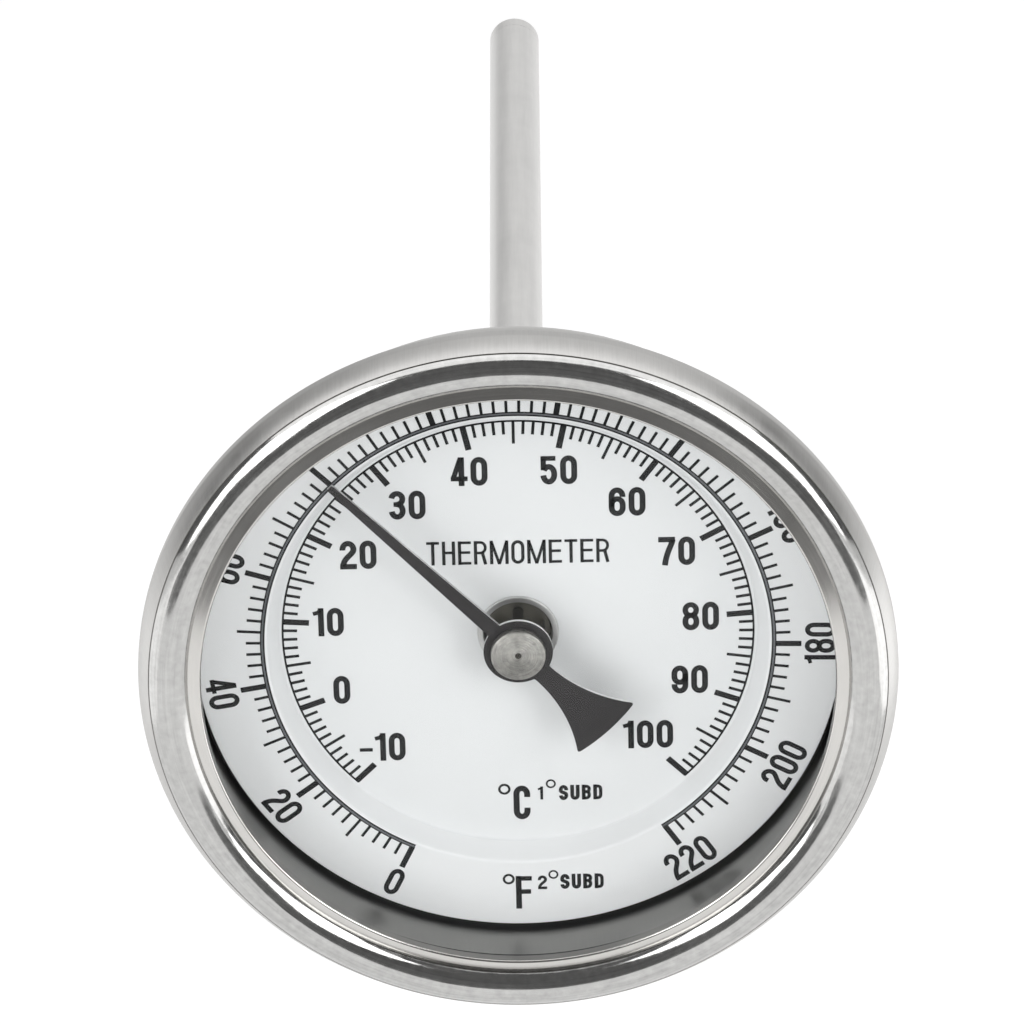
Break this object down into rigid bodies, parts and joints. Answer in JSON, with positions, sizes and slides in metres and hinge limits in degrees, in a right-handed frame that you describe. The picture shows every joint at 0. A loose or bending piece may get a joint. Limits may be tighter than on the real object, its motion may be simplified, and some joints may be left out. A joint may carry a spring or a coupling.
{
  "type": "dial thermometer",
  "caption": "Back-connected bimetal dial thermometer for a brewing kettle or fermenter, with a round glazed case, a hex connector with a taper pipe thread and a long rigid stem.",
  "frame": {"origin": "centre of the connector's hex shoulder, where the pipe thread starts", "axes": "+Y runs along the stem towards its tip, the dial faces -Y, +Z is 12 o'clock on the dial, +X is 3 o'clock"},
  "size_m": [0.083, 0.1786, 0.083],
  "materials": {
    "connector_steel": "satin",
    "case_steel": "drawn satin",
    "bezel_steel": "polished nose, drawn outer wall",
    "window": "clear",
    "gasket_rubber": "matte",
    "dial_paint": "satin white",
    "bush_aluminium": "turned",
    "gear_brass": "stamped",
    "spring_steel": "rolled",
    "post_brass": "turned",
    "screw_steel": "turned",
    "pointer_paint": "satin black",
    "hub_nickel": "turned nickel",
    "shaft_steel": "ground",
    "bimetal": "rolled",
    "stem_steel": "satin"
  },
  "bodies": {
    "case": {"process_connector": "connector_steel", "case_cup": "case_steel", "bezel_ring": "bezel_steel", "window_glass": "window", "front_gasket": "gasket_rubber", "rear_gasket": "gasket_rubber", "stem_tube": "stem_steel", "stem_tip": "stem_steel", "bearing_post": "post_brass", "upper_bush": "post_brass", "lower_bush": "post_brass", "coil_anchor": "post_brass", "reset_bush": "post_brass", "reset_seal": "gasket_rubber", "dial_spring_washer": "spring_steel"},
    "dial": {"dial_plate": "dial_paint", "dial_bush": "bush_aluminium", "dial_sector": "gear_brass"},
    "reset": {"reset_screw": "screw_steel", "reset_pinion": "gear_brass", "reset_clip": "spring_steel"},
    "indicator": {"pointer": "pointer_paint", "pointer_hub": "hub_nickel", "pointer_shaft": "shaft_steel", "coil_collet": "post_brass", "bimetal_coil": "bimetal"}
  },
  "joints": [
    {"name": "pointer_turn", "type": "hinge", "parent": "case", "child": "indicator", "pos_m": [0, 0, 0], "axis": [0, 1, 0], "range_deg": [-109.89, 190.11], "stiffness_Nm_per_rad": 0.005, "deforming": ["bimetal_coil"]},
    {"name": "dial_turn", "type": "hinge", "parent": "case", "child": "dial", "pos_m": [0, 0, 0], "axis": [0, 1, 0], "range_deg": [-12, 12]},
    {"name": "reset_screw_turn", "type": "hinge", "parent": "case", "child": "reset", "pos_m": [0, 0, -0.0175], "axis": [0, 1, 0], "range_deg": [-72, 72]}
  ],
  "couplings": [
    {"joint": "reset_screw_turn", "follows": "dial_turn", "ratio": -6}
  ]
}
